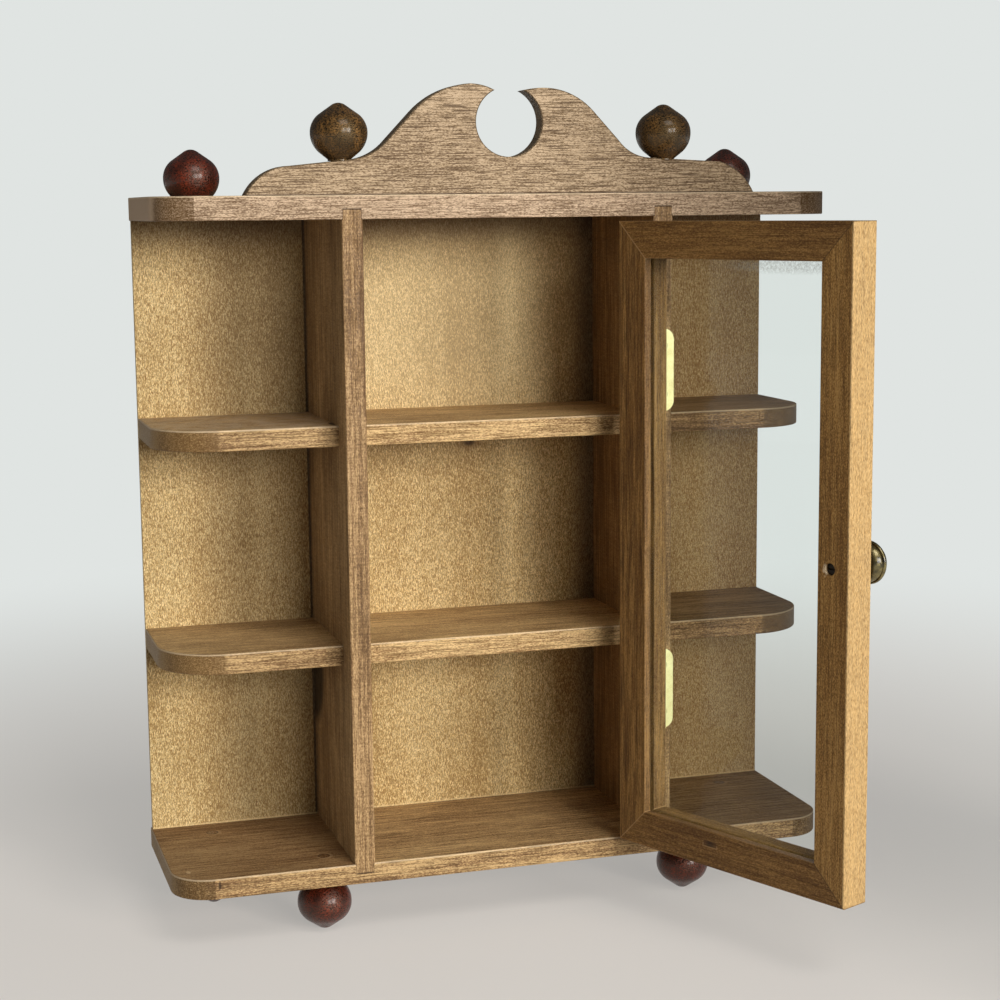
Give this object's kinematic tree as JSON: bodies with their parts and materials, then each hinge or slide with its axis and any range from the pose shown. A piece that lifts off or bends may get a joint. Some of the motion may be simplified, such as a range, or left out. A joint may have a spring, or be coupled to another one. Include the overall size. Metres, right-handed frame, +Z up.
{
  "type": "display case",
  "caption": "Small display cabinet with open end shelves, a glazed middle door on barrel hinges, a swan-neck crest, and turned finials and feet.",
  "frame": {"origin": "middle of the flat back of the case, halfway between the top and bottom boards", "axes": "+X to the right seen from the front, +Y out of the back of the case, +Z up"},
  "size_m": [0.27, 0.1821, 0.3265],
  "materials": {
    "case_wood": "satin stained",
    "panel_wood": "satin stained",
    "door_wood": "satin stained",
    "turned_wood": "gloss varnished",
    "dowel_wood": "unfinished",
    "hinge_brass": "bright plated",
    "knob_brass": "dark antique",
    "steel": "plain",
    "glass": "clear"
  },
  "bodies": {
    "case": {"top_board": "case_wood", "bottom_board": "case_wood", "left_divider": "case_wood", "right_divider": "case_wood", "left_lower_shelf": "case_wood", "left_upper_shelf": "case_wood", "middle_lower_shelf": "case_wood", "middle_upper_shelf": "case_wood", "right_lower_shelf": "case_wood", "right_upper_shelf": "case_wood", "crest": "case_wood", "back_panel": "panel_wood", "crest_dowels": "dowel_wood", "left_crest_finial": "turned_wood", "right_crest_finial": "turned_wood", "left_end_finial": "turned_wood", "right_end_finial": "turned_wood", "front_left_foot": "turned_wood", "front_right_foot": "turned_wood", "rear_left_foot": "turned_wood", "rear_right_foot": "turned_wood", "lower_hinge_frame_leaf": "hinge_brass", "upper_hinge_frame_leaf": "hinge_brass", "lower_hinge_pin": "hinge_brass", "upper_hinge_pin": "hinge_brass", "hinge_frame_screws": "hinge_brass", "panel_brads": "steel"},
    "door": {"door_bottom_rail": "door_wood", "door_top_rail": "door_wood", "door_hinge_stile": "door_wood", "door_free_stile": "door_wood", "door_glass": "glass", "door_knob": "knob_brass", "knob_screw": "steel", "lower_hinge_door_leaf": "hinge_brass", "upper_hinge_door_leaf": "hinge_brass", "hinge_door_screws": "hinge_brass"}
  },
  "joints": [
    {"name": "door_swing", "type": "hinge", "parent": "case", "child": "door", "pos_m": [0.0549, -0.075, 0], "axis": [0, 0, 1], "range_deg": [-114.5, 63]}
  ]
}
